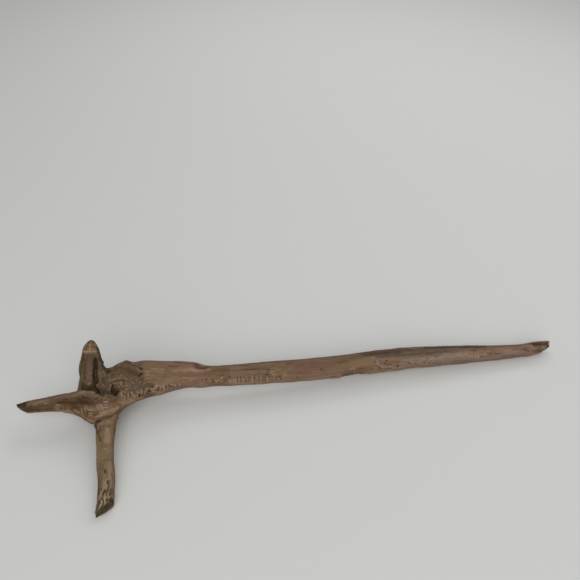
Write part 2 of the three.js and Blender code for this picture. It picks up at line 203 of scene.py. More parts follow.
# Strokes of colour and relief, placed on the photo. Under each part of the wood and each tone stand
# the strength, the width and the height in millimetres, then the paths of the strokes in the photo's
# pixels. Those under shape only raise or lower the wood.
strokes = {
    "leftStub": {
        "black": [
            (0.97, 3.2, 0, [(17.5, 405), (20, 405.5), (24.5, 404.8)]),
            (0.85, 1.6, 0, [(19.5, 407), (22.5, 409.8), (26, 411.6)]),
        ],
        "dark": [
            (0.9, 2.4, 0, [(21, 407), (24, 409), (28, 411)]),
            (0.6, 2.2, 0, [(64, 408), (72, 408.5)]),
            (0.9, 2.2, 0, [(22, 407.5), (25, 408.3), (27.5, 409)],
             [(27.5, 410), (33, 410.4), (38, 410.4)]),
            (0.8, 1.6, 0, [(24, 403), (28.5, 402.2)]),
            (0.6, 2, 0, [(38, 410.4), (48, 410), (56, 409.5)]),
            (0.5, 1.3, 0, [(40, 411), (50, 410.3)]),
            (0.85, 2, -0.2, [(59, 403), (65, 402.3), (71, 402.5), (77, 403)]),
            (0.75, 1.7, 0, [(60, 408.5), (68, 408), (75, 407.8)]),
            (0.75, 0.9, -0.3, [(63, 399.8), (68, 399.5)]),
            (0.5, 0.9, 0, [(42, 399.3), (50, 399)]),
        ],
        "knot": [
            (0.85, 3.4, 0, [(30, 407), (40, 406), (50, 404)]),
            (1, 5, 0, [(52, 403), (62, 402), (74, 400)]),
            (1, 4, 0, [(30, 408), (50, 407.5)], [(74, 406), (81, 409.5), (87, 413)]),
        ],
        "mauve": [
            (0.6, 1.8, 0, [(31, 402.5), (37, 400.5), (43, 399)]),
            (0.8, 1.7, 0, [(44, 397.8), (52, 396.5), (60, 395.2), (67, 394)]),
        ],
        "pink": [
            (0.3, 1.2, 0.15, [(31, 403.7), (37, 402.6), (43, 400.6)]),
        ],
        "amber": [
            (0.9, 2.2, 0, [(29, 407.5), (38, 406.2), (47, 404.8)]),
            (0.95, 3, 0, [(52, 405.5), (62, 404), (72, 403), (80, 402)]),
            (0.9, 2.4, 0, [(73, 407), (82, 411), (86, 413)]),
        ],
        "red": [
            (0.5, 1.3, 0, [(46, 401.5), (56, 400)]),
            (0.9, 1.2, 0, [(61.5, 398.2), (66, 397.4), (71, 396.8)]),
        ],
        "pale": [
            (0.6, 0.8, 0.2, [(56, 405.2), (60, 404.9)]),
            (0.45, 0.8, 0.1, [(44, 403.5), (47, 403.3)]),
            (0.35, 0.8, 0.1, [(33, 405), (37, 404.2)]),
        ],
    },
    "knotFront": {
        "olive": [
            (0.6, 2.2, 0.3,
             [(72, 395), (80, 392.3), (88, 391.5), (93, 393.8), (100, 396.5), (106, 397.5)]),
            (0.85, 1.7, 0, [(80, 413.5), (86, 417.5), (93, 421.3)]),
        ],
        "pale": [
            # partly the crest's light-brown wood, partly a painted highlight along its top
            (0.45, 1.3, 0.2, [(79, 392), (86, 391.5)]),
            (0.8, 0.75, 0.3, [(88, 410.2), (92, 409.8)], [(88.5, 412.8), (92.5, 413.8)],
             [(88.5, 415), (90.5, 415.2)], [(97, 405), (98.5, 409)], [(99.3, 404.5), (101, 409)],
             [(101.8, 405), (103, 409.5)], [(104.3, 402), (108, 402)], [(104.3, 404.7), (108, 404.6)],
             [(104.3, 407.3), (108, 407.2)], [(81.3, 409), (81.8, 412.5)], [(84.5, 409), (85.5, 412)]),
            # the lip's pale edge and patches (this stroke and the two below it): partly pale wood, partly a
            # painted highlight
            (0.5, 1.5, 0.6, [(95, 417.4), (101, 415.4), (107, 412.8)]),
            (0.4, 1.6, 0.5, [(107, 412.8), (112.5, 409.8), (117.5, 406.8)]),
            (0.7, 1.1, 0.2, [(100.5, 413), (106, 411.5)]),
            (0.8, 0.7, 0.2, [(112.5, 408.5), (115, 409.5), (113.5, 411)]),
        ],
        "dark": [
            (0.7, 3, -0.3, [(78, 400.5), (84, 403), (90, 403.5), (95, 404.5)]),
            (0.6, 2.4, 0, [(66, 405.5), (72, 406.5), (78, 407.5)]),
            (0.65, 0.7, -0.35, [(90, 411.5), (95, 412.5)], [(90, 414.2), (96, 415.5)],
             [(98.2, 404.5), (99.5, 408)], [(104.5, 403.4), (108, 403.4)], [(104.5, 406), (108, 406)],
             [(79.7, 409.5), (80, 413)], [(83, 409), (83.3, 413)]),
            (0.7, 0.7, -0.4, [(113.8, 409.8), (114, 410.2)]),
            # painted shadow along the crease under the lip (this stroke and the two below it), darkest
            # where it meets the near stub's right side
            (0.3, 0.9, -0.8, [(99, 420.7), (104, 418.4), (110, 416.8), (114, 414.8)]),
            (0.8, 1, -0.7, [(114, 414.6), (117.5, 411.6), (120.3, 408.6)]),
            (0.5, 1.8, 0, [(116.5, 413.5), (119, 410.5)]),
            (0.75, 1.2, 0, [(72, 409.3), (76, 412), (81, 416), (87, 419.6), (93.5, 423)]),
        ],
        "amber": [
            (0.4, 4, 0, [(100, 400), (110, 401), (118, 400)]),
            (0.5, 1.1, 0, [(92, 414.8), (98, 413.2)]),
            # painted shade, brown, under the lip
            (0.75, 1.7, 0, [(98.5, 419), (104, 417.4), (111, 415.8)]),
            (0.5, 1.6, 0, [(103, 425.7), (110, 425)]),
            (0.75, 1.8, 0, [(85, 416), (91, 418.4), (96, 418.8)]),
        ],
        "red": [
            (0.35, 3, 0, [(100, 402), (112, 403)]),
            (0.6, 0.9, 0, [(92.5, 413), (97, 411.5), (101, 408.5)], [(93, 416), (98, 414), (102, 411.5)]),
            (0.4, 1, 0, [(103, 411.5), (108, 409.5)]),
            (0.5, 2.2, 0, [(96, 407), (102, 406.5)]),
        ],
        "black": [
            # painted shadow at the left end of the crease under the lip
            (0.95, 1.3, -0.8, [(95.8, 422.3), (99, 420.8)]),
        ],
        "mauve": [
            (0.8, 3, 0, [(92, 400.5), (98, 400.5), (104, 401)]),
        ],
    },
    "nearStub": {
        "black": [
            (0.95, 1.1, -0.4, [(96.3, 424), (96.6, 428), (97.2, 433)]),
            # painted shadow at the left end of the crease under the lip
            (0.75, 1.1, -0.5, [(98, 421.2), (100.5, 420.8)]),
            (0.8, 0.75, -0.4, [(97.6, 425), (98.2, 422.8)], [(100.4, 426.3), (100, 428.7)],
             [(101, 429.5), (100.6, 431)]),
            (0.85, 1.2, -0.8, [(104.8, 470), (105.4, 472.3)]),
            (0.9, 0.85, -0.6, [(104.5, 489.5), (104.3, 491.7)], [(106.8, 490.8), (106.5, 493)],
             [(108.2, 481), (108, 484)]),
            (0.85, 3.2, 0, [(109, 500), (111, 501.5), (107, 507), (103, 510), (98, 512.5)]),
            (0.7, 2.2, 0, [(98, 503), (97, 509)]),
            (0.9, 1.9, 0, [(112.5, 500.5), (112, 504), (106.5, 509.3), (100.5, 513.6), (95.5, 516.3)]),
            (0.9, 0.8, -0.7, [(100, 499), (99.5, 504), (97.3, 510)],
             [(103, 499.5), (103.2, 505), (100.5, 510.5)], [(106.5, 499), (106.5, 504), (103.5, 508.5)],
             [(111, 498), (110, 503), (107.3, 506.5)], [(101, 497), (102, 499)]),
        ],
        "pale": [
            (0.9, 0.8, 0.3, [(98.5, 426), (99, 427.7)], [(98, 423.8), (98.6, 424.4)],
             [(101, 423.3), (101.6, 424)]),
            (0.45, 2.8, 0, [(104, 424), (109, 423)]),
            (0.6, 3, 0.3, [(107.3, 429), (108, 436), (107.4, 441)]),
            (0.6, 0.75, 0.1, [(104, 449), (107, 448.7)], [(107, 451.5), (112, 450.5)],
             [(110, 464), (111.5, 465)]),
            (0.5, 2.3, 0, [(110, 463), (111, 472)]),
            (0.8, 0.8, 0.35, [(107, 479), (105, 482), (103.5, 484), (105, 486)],
             [(110, 474), (109, 478), (109.5, 480)], [(104, 489), (106.5, 487), (107.5, 484.5)],
             [(103, 480), (104, 483)], [(105.5, 493.5), (104, 495.5), (106, 497)],
             [(108, 493), (110, 498), (107.5, 502)], [(111.5, 482), (111, 487)]),
        ],
        "dark": [
            (0.65, 1.7, -0.2, [(98, 431), (99.5, 436), (101, 440)]),
            (0.8, 1, -0.2, [(117.6, 415), (116.6, 420), (115.4, 427), (114.5, 433)]),
            (0.45, 0.8, -0.2, [(105, 444), (112, 444)], [(105, 446.7), (112, 446.5)],
             [(103.5, 464), (103, 469)], [(100.5, 463), (100.5, 470)]),
            (0.6, 0.9, -0.3, [(97.5, 460.5), (103, 461), (107, 460), (112, 460)]),
            (0.65, 1.4, 0, [(97.6, 464), (98.3, 474), (98.6, 485), (98.6, 494)]),
            (0.4, 0.8, -0.2, [(101.5, 474), (101.5, 481)]),
            (0.6, 1, -0.3, [(112.3, 489), (112, 494)]),
            (0.7, 0.9, 0, [(113.2, 470), (114.3, 478), (114.3, 486), (113.4, 494)]),
        ],
        "olive": [
            (0.8, 1.8, 0, [(98, 434), (98.6, 440), (98, 444)]),
            (0.85, 4.2, 0, [(100, 448), (103, 453), (106, 457)]),
            (0.7, 4, 0, [(99, 464), (99, 475), (99.5, 485), (99.5, 495)]),
        ],
        "pink": [
            (0.35, 2.6, 0, [(108, 434), (107, 439)]),
            (0.4, 2.5, 0, [(98.5, 443), (98.5, 452)]),
        ],
        "red": [
            (0.9, 1.3, 0, [(115.3, 419), (114.8, 426), (113.7, 434)]),
            (0.4, 1.2, 0, [(107.5, 482), (107, 485)]),
        ],
        "amber": [
            (0.5, 2.4, 0, [(102, 441), (102, 448)]),
        ],
        "cream": [
            (0.9, 0.85, 0.45, [(101.5, 500), (101, 505), (98.5, 510)],
             [(104, 497), (105, 503), (102.5, 508.3)], [(109, 497.5), (108.5, 501.5), (105.5, 505)],
             [(98, 503), (97.3, 508), (96.2, 513)], [(111, 503.3), (108.7, 506)],
             [(98.8, 512.5), (101, 510.3)]),
            (0.85, 0.7, 0.2, [(103, 512), (105, 510)], [(108, 507.5), (110, 505.3)],
             [(99, 515.3), (100.5, 514)], [(106, 501), (106.6, 503.5)], [(100.3, 498.5), (102, 496.8)],
             [(95.8, 512), (95.3, 514.5)]),
        ],
    },
    "upperStub": {
        "dark": [
            (0.4, 3, 0, [(97, 381), (101, 388)]),
            (0.35, 4.5, 0, [(84, 360), (84, 372)]),
            (0.55, 1.2, 0, [(87.3, 343), (95.3, 343)]),
            (0.6, 1.6, 0, [(87, 346.5), (88.5, 346.8)]),
            (0.6, 1.4, 0, [(92.5, 346), (95.5, 347.5)]),
            (0.75, 0.8, -0.3, [(84.2, 349), (87, 349.5)]),
            (0.7, 1.4, 0, [(83.3, 354), (84.4, 354.4)]),
            (0.85, 1.5, 0, [(80.3, 374), (80.4, 381), (81, 387)]),
            (0.75, 0.9, -0.3, [(88, 353.3), (87.4, 357), (86.5, 361)]),
            (0.6, 0.9, -0.4, [(85.5, 363), (85, 370), (84.6, 378)]),
            (0.6, 1, -0.2, [(98.8, 356), (100.4, 362), (101.8, 367)]),
            (0.95, 3, -0.3, [(82, 385.5), (88, 386.5), (94, 386)]),
            (0.6, 2.4, 0, [(99, 386.5), (103, 389), (108, 391)]),
            (0.5, 2, 0, [(103, 392), (108, 393.5)], [(100, 378), (105, 382.5), (108.5, 386)]),
            (0.5, 1.6, 0, [(104, 383), (109, 384)]),
        ],
        "knot": [
            (0.95, 5.5, 0, [(84, 357), (84.5, 368), (85, 384)], [(92, 356), (94, 368), (95, 384)]),
            (0.8, 3.5, 0, [(99, 360), (101, 370), (103, 380)]),
            (1, 4.2, 0, [(101, 384), (106, 387), (110, 391)]),
        ],
        "black": [
            (0.8, 1.5, 0, [(88.3, 341), (91.5, 340), (94.5, 341.7)]),
            (0.75, 1.3, -0.2, [(82.6, 357), (81.5, 362), (80.8, 368), (80.6, 374)]),
            # the lengthwise groove down the upper stub's front (this stroke and the two below it): dark
            # wood with painted shade in it
            (0.95, 1.7, -1, [(95, 359.5), (95, 367), (95, 375), (95.5, 383)]),
            (0.95, 1.7, -0.8, [(96.8, 361), (97, 369), (97.3, 376), (97.5, 382)]),
            (0.85, 1.6, -0.3, [(93.5, 375), (93.5, 382), (95, 385.5)]),
            (0.95, 1.1, 0, [(96.6, 347.5), (98.6, 352), (100.2, 357), (101.9, 363), (103.4, 367.6)]),
            # painted shadow in the crevice where the upper stub meets the left stub and the knot (this
            # stroke and the four below it)
            (0.8, 1.2, 0, [(81, 387.8), (86, 388.3), (92, 388)]),
            (0.95, 1, -0.7, [(81, 389), (86, 389.6), (92, 389.4)]),
            (0.95, 2.4, -1, [(94.5, 387), (96.5, 389.8), (98.5, 392)]),
            (0.7, 1.6, -0.4, [(93, 390), (97, 393.3), (101, 394.3)]),
            (0.9, 1.2, -0.4, [(100.3, 394.6), (103.8, 395)]),
        ],
        "olive": [
            (0.75, 3.2, 0, [(86, 347), (95.5, 347)]),
            (0.6, 1.6, 0, [(83, 362), (82.2, 372), (82.2, 380)]),
        ],
        "cream": [
            (0.7, 0.6, 0.2, [(90, 344), (90, 349), (90.2, 350.6)]),
            (0.7, 0.6, 0.3, [(84.5, 351.4), (88, 352), (92, 351.8), (96.3, 351.5)]),
        ],
        "red": [
            (0.6, 1, 0, [(91.3, 345), (91.5, 349)]),
            (0.75, 1.8, 0.4, [(89, 362), (89, 370), (88.5, 379), (87.5, 383)]),
            (0.9, 1.1, -0.5, [(84.4, 384.5), (85, 386.3)]),
        ],
        "pink": [
            (0.8, 1.5, 0.3, [(83.8, 350.6), (88, 351)]),
            (0.35, 1, 0.2, [(91.5, 360), (91.5, 372), (91.3, 380)]),
        ],
        "mauve": [
            (0.75, 2.2, 0, [(87.5, 356), (87.3, 366), (87, 376)]),
            (0.7, 1.5, 0.3, [(100.2, 361), (101.8, 369), (103.3, 377)]),
            (0.6, 2.6, 0, [(101, 386), (104, 389), (106, 391)]),
        ],
        "ash": [
            (0.6, 0.8, 0.2, [(103.4, 371), (105, 374), (105.5, 378)]),
        ],
        "pale": [
            (0.5, 0.8, 0.2, [(96.5, 386), (99.5, 383.6), (101.5, 382)]),
        ],
    },
    "burl": {
        "black": [
            # painted shadow in the crease between the upper stub and the burl (this stroke and the one
            # below it)
            (0.95, 1.2, -0.6, [(104, 366.8), (105.5, 368.9), (108.5, 369.2)]),
            (0.75, 1.3, -0.4, [(105.5, 371.5), (107.5, 373)]),
            (0.95, 1.3, -0.9, [(139.5, 367.5), (141.5, 368.8)]),
            (0.95, 1.3, -1, [(139, 394.5), (139.8, 396.8)], [(149, 390.5), (149.8, 392)]),
            (0.8, 1, -0.6, [(158.7, 387.3), (158.5, 389.5)], [(162, 388.5), (161.5, 390.5)],
             [(152.5, 386), (153.5, 387.5)], [(156, 390), (159, 390.6)], [(147, 393), (147.5, 394.2)]),
            # painted shadow in the crease between the upper stub and the burl
            (0.95, 1.5, -0.2, [(104, 369), (106.3, 371), (109.5, 370.8)]),
        ],
        "red": [
            (0.5, 2.2, 0, [(108, 375), (111, 374)]),
            (0.35, 1.8, 0, [(117, 365.5), (125, 365.5)]),
            (0.5, 1.4, 0, [(122.5, 392.5), (125, 395)]),
        ],
        "dark": [
            (0.5, 2, -0.2, [(106, 378), (108, 381)]),
            (0.45, 5, 0, [(115, 369), (124, 371), (134, 371)]),
            (0.8, 1.2, -0.4, [(123, 364.3), (128, 361.5), (131.5, 364.5), (137, 366.5)]),
            (0.6, 1.2, -0.3, [(128, 369), (130, 371)]),
            (0.95, 1, -0.7, [(139.2, 375.5), (141.5, 373.6)]),
            (0.9, 0.8, -0.6, [(136.4, 372.2), (136.7, 373.4)]),
            (0.25, 0.7, -0.1, [(141, 378.3), (147, 377), (152, 375.3), (158, 377.5)],
             [(150, 372.8), (158, 374.5), (165, 375)], [(143, 381.5), (150, 379.5), (157, 380.5)]),
            (0.6, 0.8, -0.2, [(141, 380), (144, 380)]),
            (0.6, 1, -0.5, [(113, 381.5), (117, 379.5), (121, 380.5), (124, 380)],
             [(122.5, 383), (122.5, 388), (119.5, 391)]),
            (0.5, 0.9, -0.3, [(125.5, 380.7), (127.5, 380.5)]),
            (0.7, 0.7, -0.4, [(129.7, 393), (130, 398)], [(133.6, 393), (134.2, 396)],
             [(126, 394), (126.2, 399)], [(123, 393), (123.3, 398)]),
            (0.75, 0.9, -0.5, [(142.5, 393.5), (143.5, 396)]),
            (0.6, 2.2, -0.2, [(128, 364.5), (130, 369), (133, 372.5)]),
            (0.7, 0.9, 0, [(109.5, 368.8), (114, 366.2), (119, 363.6), (123, 362.6)]),
            (0.75, 0.9, 0, [(129.5, 361.9), (133, 363.6), (138, 363.9), (143, 362.6)]),
        ],
        "olive": [
            (0.6, 4, 0, [(114, 370), (120, 372), (124, 375)]),
            (0.6, 2.5, 0, [(118, 403), (126, 403.3), (133, 401)]),
        ],
        "mauve": [
            (0.75, 2.3, 0, [(127, 362.5), (133, 366), (141, 365.5)]),
            (0.4, 4.5, 0, [(124, 386), (132, 389), (140, 388)]),
        ],
        "amber": [
            (0.6, 1.2, 0.2, [(143, 370), (144.5, 373)]),
        ],
        "pale": [
            (0.28, 0.8, 0.1, [(142, 377), (148, 375), (155, 376), (160, 378.5)],
             [(146, 371.5), (155, 371), (163, 372.5)], [(150, 369.3), (158, 369), (164, 369.5)],
             [(144, 383), (150, 381.5), (156, 382.5)]),
            (0.6, 0.9, 0.4, [(120.5, 385), (121.5, 382.5)]),
            (0.5, 0.9, 0.1, [(123.5, 386), (127, 385.5)]),
            (0.75, 0.75, 0.35, [(128, 393), (128.5, 397)], [(131.5, 392), (133, 396)],
             [(134.5, 395), (135.3, 398)], [(124.5, 396), (124.3, 399.5)], [(129.5, 399.3), (132, 400)],
             [(137, 391.5), (138.5, 392.6), (137.8, 395)], [(139.5, 398.8), (143, 398.2)],
             [(121.5, 393), (122.3, 396.5)]),
            (0.8, 0.7, 0.3, [(150.8, 388.7), (152.5, 389.2)]),
            (0.4, 2, 0.2, [(119, 402), (127, 403), (135, 400)]),
            (0.65, 0.8, 0.3, [(155.5, 385.8), (158, 385.5)], [(160.5, 386), (160.8, 389.5)],
             [(163.5, 387), (163, 390)], [(154, 388.5), (155.5, 390)]),
        ],
        "knot": [
            (0.9, 6, 0, [(112, 372), (126, 374), (136, 376), (134, 388)]),
            (0.95, 6.5, 0, [(110, 374), (120, 371), (132, 374), (140, 378)]),
            (0.8, 5.5, 0, [(128, 384), (138, 387), (150, 384)]),
        ],
    },
    "shaftRoot": {
        "pink": [
            (0.85, 2.2, 0, [(151.5, 363.5), (158, 363), (165, 363.5), (171, 363.6)]),
        ],
        "dark": [
            (0.55, 0.9, 0, [(168.5, 366), (174, 366.7), (178.5, 366.3)]),
            (0.6, 1.1, 0, [(174.5, 362.3), (182, 363)]),
            (0.6, 0.9, -0.2, [(196, 366.7), (199, 368), (205, 368), (209, 367.2)]),
            (0.4, 0.8, -0.2, [(185, 380), (191, 382), (198, 381)]),
            (0.5, 1.2, 0, [(175, 386.5), (182, 386.8), (190, 386.3)]),
            (0.7, 0.7, -0.35, [(206, 379), (207, 382)], [(211, 379.5), (213.5, 379)],
             [(212.5, 381), (213.5, 383)], [(219.5, 378), (220.5, 380)], [(223.5, 377.5), (224, 380.3)],
             [(221, 376), (223, 375.9)]),
        ],
        "olive": [
            (0.85, 2, 0, [(150, 367), (157, 367), (165, 367.8), (170, 368.3)]),
            (0.5, 2.5, 0, [(152, 374), (165, 376.5), (160, 381)]),
        ],
        "pale": [
            (0.5, 0.7, 0.1, [(152, 369.3), (164, 369.2)]),
            (0.55, 1.5, 0.1, [(172, 371), (180, 370), (190, 369.8), (200, 370.6), (210, 370.2)]),
            (0.45, 0.75, 0.15, [(183, 377), (187, 378.5)], [(189, 379), (194, 378)],
             [(187, 380.5), (192, 381.5)], [(200.5, 384), (203.5, 382)]),
            (0.8, 0.75, 0.3, [(171, 384.5), (173, 384.2)], [(175.3, 384.3), (175.8, 386)],
             [(179.5, 384.2), (179.8, 385.8)], [(163.2, 385.5), (163.5, 388)]),
            (0.7, 0.7, 0.25, [(215.5, 380), (217, 382.5)], [(217.5, 381), (219, 379.5)],
             [(221, 377.5), (222.5, 379.5)], [(220.5, 382.3), (221, 380.5)], [(209.5, 379), (210.5, 382)],
             [(222, 376.9), (223.5, 377)]),
        ],
        "mauve": [
            (0.7, 1.2, 0, [(184, 363.3), (192, 364), (198, 365.7)]),
            (0.4, 1.5, 0, [(195, 386.2), (205, 385.3), (215, 384.3), (228, 383.8)]),
        ],
        "red": [
            (0.6, 1.1, 0, [(198, 369), (205, 368.8)]),
            (0.5, 3.2, 0, [(172, 373.8), (185, 374.3), (198, 374), (212, 373.5)]),
        ],
        "amber": [
            (0.55, 2.5, 0, [(205, 371.5), (215, 370.5), (228, 369.5)]),
        ],
        "black": [
            (0.75, 0.8, -0.5, [(170, 386), (172, 386.8)], [(177.2, 384.6), (177.3, 386.5)],
             [(168.5, 385), (169, 386)], [(166, 386), (166.3, 388.3)]),
        ],
    },
    "shaftLeft": {
        "pale": [
            (0.7, 0.75, 0.3, [(229, 379), (229.5, 382)], [(231, 378.5), (231.5, 382)],
             [(234, 378.5), (233.5, 382)], [(236, 379), (236.2, 383)], [(239, 377.5), (239.3, 382)],
             [(242, 378), (244, 380), (242.5, 382)], [(252, 376), (252.2, 381)],
             [(257.4, 375.8), (257.7, 383)], [(260.9, 376), (261, 381.8)], [(267, 377), (267.3, 380.3)],
             [(271, 371), (273.5, 372), (275, 371)], [(273, 375), (276, 374.3)],
             [(270.5, 373), (272.5, 374)], [(285, 375.5), (287.5, 375)]),
        ],
        "dark": [
            (0.75, 0.7, -0.45, [(229.7, 376.5), (230, 378.8)], [(237.6, 377), (237.7, 382)],
             [(240.6, 378), (241, 382)], [(245, 378.5), (245.5, 382)], [(254.3, 378), (254.6, 383.2)],
             [(259.3, 377), (259.3, 382)], [(262.4, 378.7), (262.6, 382)], [(265, 378.5), (264.8, 382.5)],
             [(265, 374.3), (269, 374.4)], [(266, 369.6), (270, 369.5)], [(248.5, 377), (249, 381)],
             [(276.5, 377), (277, 380)]),
            (0.8, 0.9, -0.4, [(297, 377), (298, 378.3)]),
            (0.6, 1, 0, [(242, 369.2), (250, 369.5), (258, 368.7)]),
            (0.35, 1.2, 0, [(240, 363.5), (256, 362.5)]),
            (0.4, 1.1, 0, [(216, 384.3), (235, 384.3), (262, 383.8)]),
        ],
        "black": [
            (0.9, 0.9, -0.6, [(280.6, 378.6), (281.5, 379.5)]),
            (0.7, 0.9, -0.4, [(279, 377), (281, 376.8)]),
        ],
        "amber": [
            (0.6, 0.9, 0, [(266, 371.5), (269, 371.8)]),
        ],
        "red": [
            (0.75, 2.5, 0, [(287, 363.8), (295, 364.3), (305, 365)]),
            (0.75, 2.4, 0, [(296, 372), (308, 372), (304, 375)]),
        ],
        "olive": [
            (0.6, 2, 0, [(272, 369), (280, 370), (290, 372), (288, 374)]),
            (0.4, 1.8, 0, [(258, 379), (268, 379)]),
        ],
        "mauve": [
            (0.6, 1.5, 0, [(240, 363.2), (262, 362.8), (278, 361.5)]),
            (0.45, 1.5, 0, [(270, 380.3), (278, 381)]),
        ],
    },
    "shaftMiddle": {
        "red": [
            (0.6, 2.8, 0, [(303, 372), (310, 373), (312, 365), (322, 366), (335, 365)]),
            (0.7, 0.7, -0.2, [(317.5, 376), (318, 378.7)], [(320, 376.3), (320.8, 378.7)],
             [(323.5, 376), (324, 378.5)]),
            (0.5, 1.2, 0, [(386, 369), (392, 368.3)]),
        ],
        "dark": [
            (0.7, 1.1, -0.3, [(320.5, 369), (323, 370)]),
            (0.65, 1.1, -0.2, [(330.5, 376.8), (335.5, 376)]),
            (0.75, 0.8, -0.3, [(342, 374.8), (345.5, 374.3)]),
            (0.35, 2.6, 0, [(350, 360), (340, 363)]),
            (0.35, 3, 0, [(366, 354.5), (380, 352.5), (400, 352)]),
            (0.9, 0.8, -0.4, [(374, 361.3), (375.5, 361.8)], [(380, 360.3), (381, 360.8)],
             [(384.3, 363), (384.8, 363.5)], [(386, 360.5), (386.6, 360.7)]),
            (0.8, 0.8, -0.4, [(379, 366.5), (380, 369)], [(384, 368.6), (391, 368.5)],
             [(370.5, 368.3), (373, 368.8)], [(387, 365), (391, 364.8)], [(381, 370.6), (387, 370.2)]),
        ],
        "olive": [
            (0.75, 2.6, 0, [(338, 366.5), (348, 365), (358, 364)]),
        ],
        "mauve": [
            (0.5, 1.4, 0, [(320, 358.5), (340, 356.5), (360, 354.5)]),
            (0.85, 3.2, 0, [(366, 355), (380, 353), (392, 352.5), (400, 352.5)]),
        ],
        "amber": [
            (0.45, 2.5, 0, [(355, 369), (365, 369)]),
        ],
        "pale": [
            (0.5, 0.8, 0.2, [(349, 369.5), (353, 367.8), (354.5, 369.5)]),
            (0.75, 0.75, 0.3, [(377, 363), (378.5, 364.5)], [(380, 366), (383, 365.5)],
             [(381.5, 368), (385, 367.2)], [(389, 366), (391, 366.7)]),
        ],
        "pink": [
            (0.75, 1.9, 0, [(377, 363.5), (384, 366), (391, 366)]),
        ],
        "black": [
            (0.95, 1.5, -1.1, [(397.3, 366.3), (397.8, 366.7)]),
        ],
    },
    "shaftRight": {
        "mauve": [
            (0.7, 3.2, 0, [(392, 352.5), (405, 351), (420, 349.8), (435, 349.5), (446, 350.5)]),
        ],
        "dark": [
            (0.3, 2.4, 0, [(403, 355), (420, 353.3), (432, 353), (440, 352.3)]),
            (0.2, 3.5, 0, [(392, 353), (430, 350.5), (450, 350)]),
            (0.75, 0.8, -0.35, [(408.5, 363.5), (411, 364.3)], [(413.5, 364.6), (415, 364.2)],
             [(417, 364.8), (419.5, 364.8)], [(424.5, 362), (424.5, 363.6)],
             [(428, 362.9), (436, 362.8), (441, 362.5)]),
            (0.65, 0.9, -0.2, [(426.5, 354.5), (428.5, 353.5)], [(434, 356.3), (441, 354.5)],
             [(445.5, 350.5), (447, 352)]),
            (0.75, 1.1, 0, [(471, 350), (476, 350.3)]),
            (0.5, 0.8, 0, [(454, 360.8), (463, 360.2), (471, 360)]),
        ],
        "black": [
            (0.6, 1.2, 0, [(424, 347.5), (437, 347.3), (452, 346.8), (462, 347), (478, 347.3)]),
        ],
        "ash": [
            (0.9, 2.8, 0.15,
             [(403, 361), (415, 360), (425, 359), (435, 357.5), (445, 356), (455, 355), (465, 354)]),
            (0.8, 1.2, 0.2, [(428, 361), (435, 360), (443, 359.5)]),
        ],
        "pink": [
            (0.6, 1.4, 0, [(444, 358), (450, 359), (458, 359.3)]),
            (0.5, 1.5, 0, [(410, 360), (418, 359)]),
        ],
        "pale": [
            (0.75, 0.75, 0.3, [(464.5, 353.5), (466, 354.5), (468, 352.8)],
             [(468, 356.5), (472, 356), (476, 357.3)], [(478, 353), (478.5, 356)],
             [(431, 359), (434, 358)], [(438, 358.6), (441, 357.6)], [(417, 362.3), (420, 361.2)],
             [(411, 361), (413, 362.5)]),
        ],
    },
    "shaftTip": {
        "black": [
            (0.7, 1.1, 0, [(466, 346.8), (478, 347), (486, 346.7)]),
            (0.9, 1.7, 0, [(534, 344.7), (540, 344.3), (546, 344)]),
            (0.9, 1, 0, [(546, 343.5), (547, 345), (546.5, 347)]),
            (0.8, 0.9, 0, [(533, 352.5), (539, 350.5), (545, 348)]),
        ],
        "mauve": [
            (0.6, 1.5, 0, [(495, 347), (508, 346.3), (520, 345)]),
            (0.5, 1.3, 0, [(500, 356), (512, 356), (525, 355.3)]),
        ],
        "pink": [
            (0.65, 1.8, 0, [(478, 351.5), (485, 351.8), (480, 355)]),
        ],
        "pale": [
            (0.7, 0.7, 0.25, [(477, 357.5), (479.5, 356.3)], [(484.5, 352.5), (488, 354)],
             [(487, 351.5), (489, 350.7)], [(505.5, 350.5), (512, 350.3)], [(482, 354.5), (485, 355.5)]),
            (0.55, 0.9, 0.1, [(528, 346.5), (532, 347), (533, 348.3)]),
            (0.5, 1, 0.1, [(541, 346.5), (544, 347.5)]),
        ],
        "dark": [
            (0.8, 0.8, -0.4, [(480.5, 356.6), (484, 356.3)], [(488, 353.5), (490.5, 354.6)],
             [(491, 352.8), (493, 354.7)], [(495, 353.5), (499, 353.8)], [(486.5, 352.2), (487.5, 353)]),
            (0.75, 1.1, -0.4, [(524.5, 349.5), (525.5, 350)]),
            (0.75, 1.1, -0.3, [(527.5, 350.3), (528.5, 351.3)]),
        ],
        "ash": [
            (0.6, 3.2, 0, [(498, 354), (505, 353), (515, 353), (530, 351.5)]),
        ],
    },
    "flecks": {
        "cream": [
            (0.85, 0.75, 0.3, [(99, 505.5), (98, 509.5)], [(105, 498.5), (103.6, 502.5)],
             [(107.6, 498.5), (106.2, 502.5)], [(101.5, 493.5), (101, 497)], [(99, 496), (99.5, 499.5)]),
        ],
        "pale": [
            (0.8, 0.75, 0.25, [(102, 486), (102.5, 491)], [(109.8, 487.5), (109.5, 492)],
             [(106, 482), (106.4, 485)], [(101, 491), (100.5, 494)], [(111, 476), (111.5, 480)],
             [(104, 485.5), (103.4, 489)]),
            (0.7, 0.75, 0.25, [(137, 395), (138, 397)], [(141, 390.5), (142, 393)],
             [(145, 391), (145.5, 393.5)], [(147, 388.5), (148, 390)], [(152.5, 391), (153.5, 392.5)],
             [(156.5, 386.5), (157, 388.5)]),
        ],
        "dark": [
            (0.55, 2.2, 0, [(114.5, 384.5), (117, 384.7)]),
            (0.7, 0.75, -0.25, [(136, 396), (136.5, 398)], [(144, 389.5), (144.5, 391.5)],
             [(151, 386.8), (152, 388.2)]),
            (0.8, 1.1, 0, [(97.6, 462), (98.2, 474), (98.5, 486), (98, 498)]),
        ],
        "black": [
